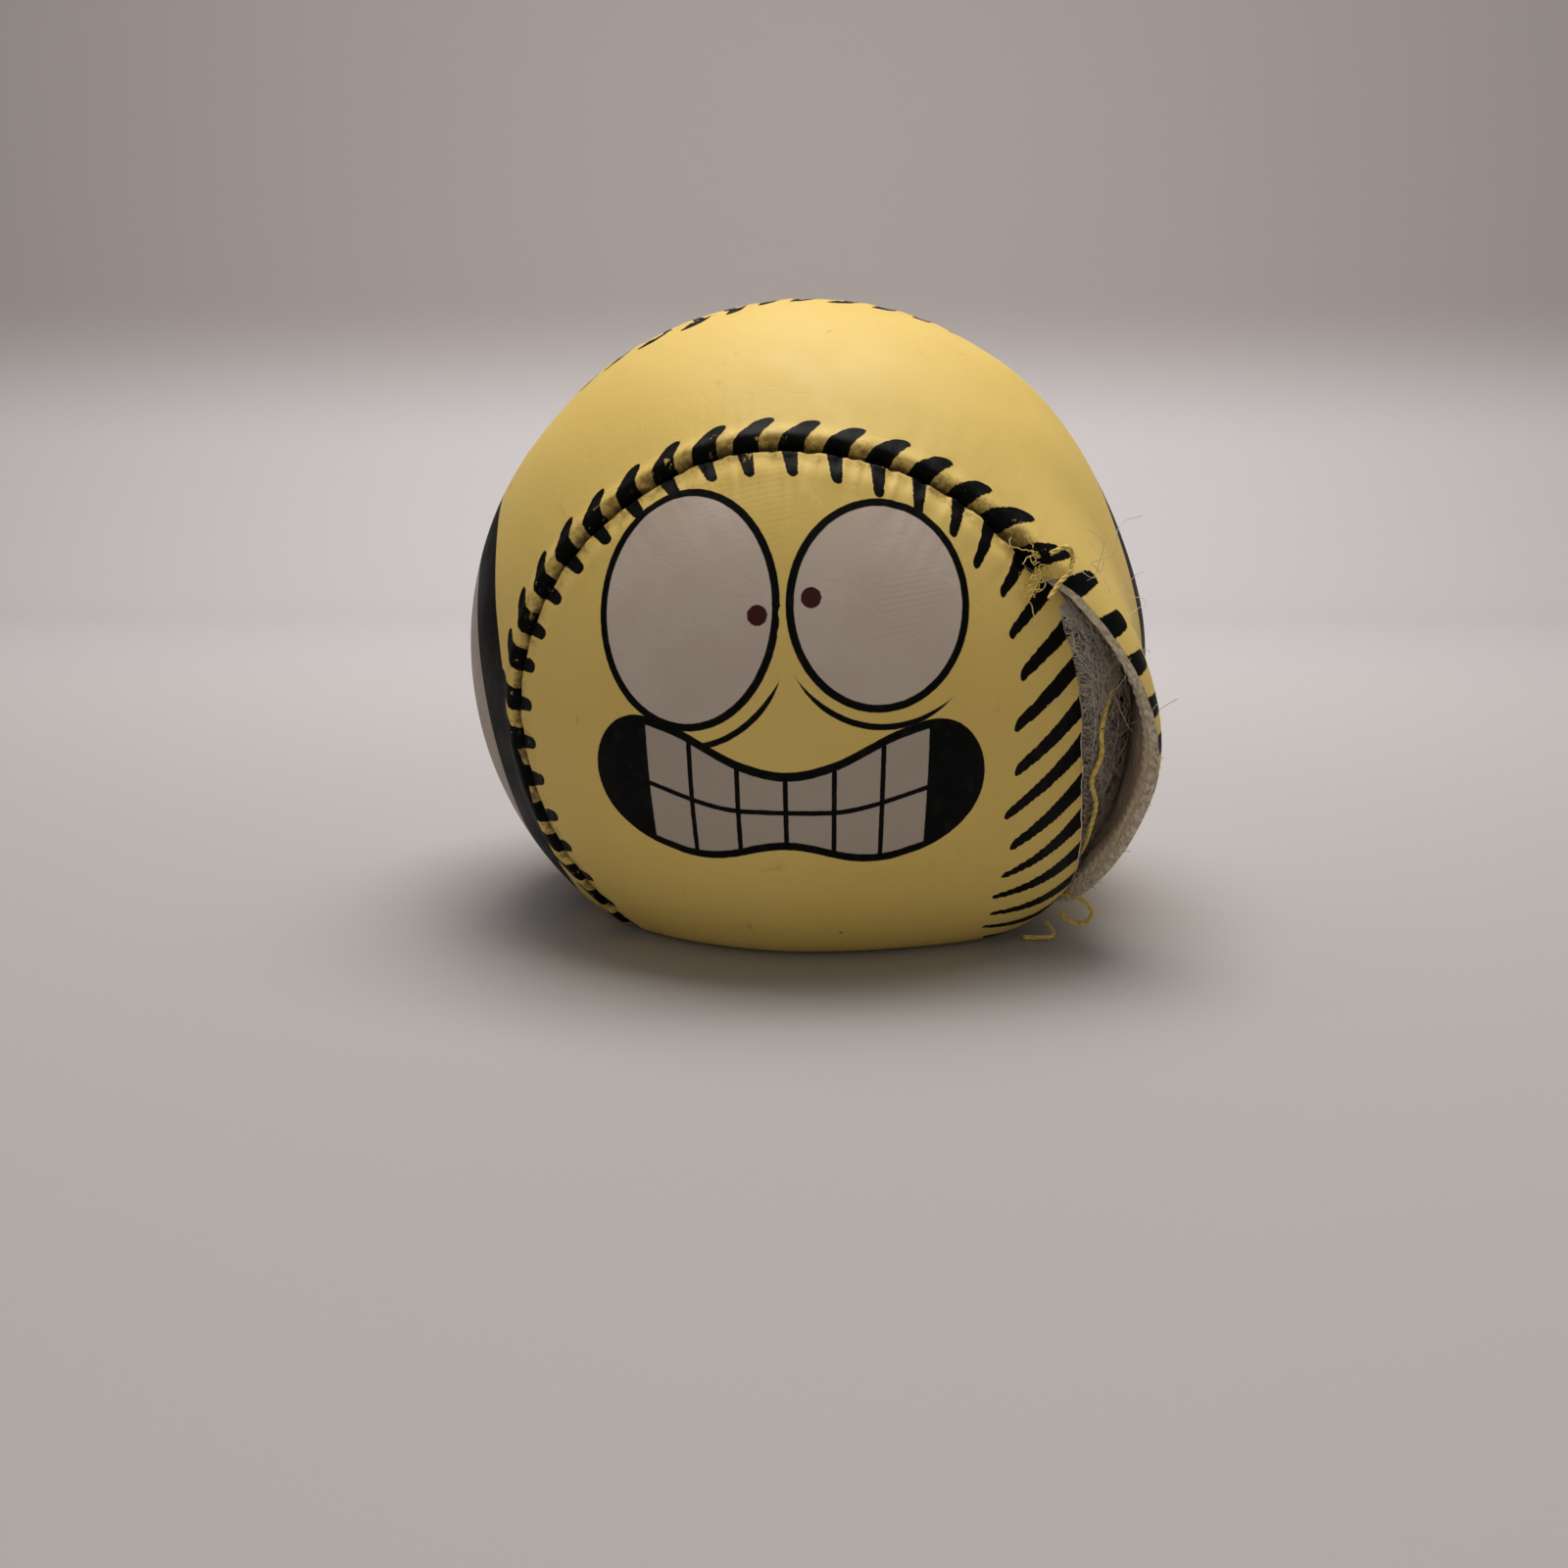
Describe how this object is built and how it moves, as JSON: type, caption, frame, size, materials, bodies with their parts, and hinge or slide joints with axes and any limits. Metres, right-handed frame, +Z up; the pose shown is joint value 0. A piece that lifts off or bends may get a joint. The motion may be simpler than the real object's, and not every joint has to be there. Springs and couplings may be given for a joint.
{
  "type": "stress ball",
  "caption": "Soft sewn squeeze ball: two figure-eight cover panels over packed fibre, with one seam torn open and a loose flap.",
  "frame": {"origin": "centre of the flattened patch on the underside that the ball rests on", "axes": "+Z up, -Y towards the front lobe with the printed face, +X towards the torn lobe"},
  "size_m": [0.0749, 0.0748, 0.066],
  "materials": {
    "cover_film": "satin",
    "cover_backing": "matte",
    "fibre": "matte",
    "thread": "satin"
  },
  "bodies": {
    "ball": {"face_panel_film": "cover_film", "face_panel_backing": "cover_backing", "fibre_core": "fibre", "loose_batting": "fibre", "needle_thread": "thread", "bobbin_thread": "thread", "frayed_seam_thread": "thread", "thread_tuft": "thread", "thread_loop": "thread", "thread_tail": "thread"},
    "crown": {"crown_panel_film": "cover_film", "crown_panel_backing": "cover_backing"},
    "flap": {"torn_flap_film": "cover_film", "torn_flap_backing": "cover_backing"}
  },
  "joints": [
    {"name": "squeeze", "type": "slide", "parent": "ball", "child": "crown", "axis": [0, 0, -1], "range_m": [0, 0.005], "stiffness_N_per_m": 1200, "deforming": ["face_panel_film", "face_panel_backing", "fibre_core", "loose_batting", "needle_thread", "bobbin_thread", "frayed_seam_thread", "thread_tuft"]},
    {"name": "flap_fold", "type": "hinge", "parent": "ball", "child": "flap", "pos_m": [0.0359, 0.011, 0.0285], "axis": [0, 0, 1], "range_deg": [-10, 12], "stiffness_Nm_per_rad": 0.01, "deforming": ["torn_flap_film", "torn_flap_backing"]}
  ]
}
